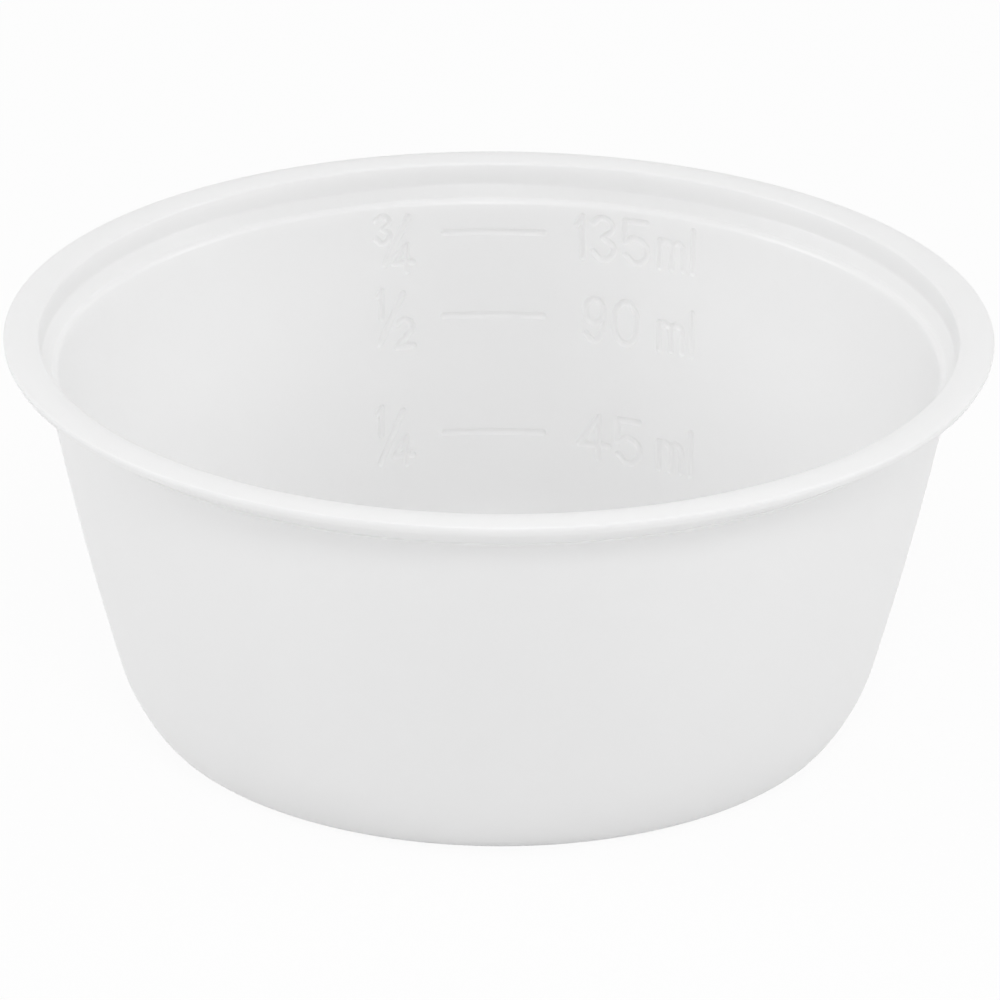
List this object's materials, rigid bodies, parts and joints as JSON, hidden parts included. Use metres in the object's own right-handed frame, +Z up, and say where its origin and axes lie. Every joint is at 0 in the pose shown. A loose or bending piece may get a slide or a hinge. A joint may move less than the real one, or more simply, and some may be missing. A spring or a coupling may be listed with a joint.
{
  "type": "graduated bowl",
  "caption": "Shallow round bowl in milky plastic with a crowned rim flange, a stepped stacking collar and volume marks inside the wall.",
  "frame": {"origin": "centre of the foot, on the surface the bowl stands on", "axes": "+Z up along the bowl's axis, +Y from the axis towards the volume marks on the inside of the wall"},
  "size_m": [0.092, 0.092, 0.0383],
  "materials": {
    "polypropylene": "natural, milky and slightly see-through, with a satin gloss"
  },
  "bodies": {
    "root": {"bowl": "polypropylene"}
  },
  "joints": []
}
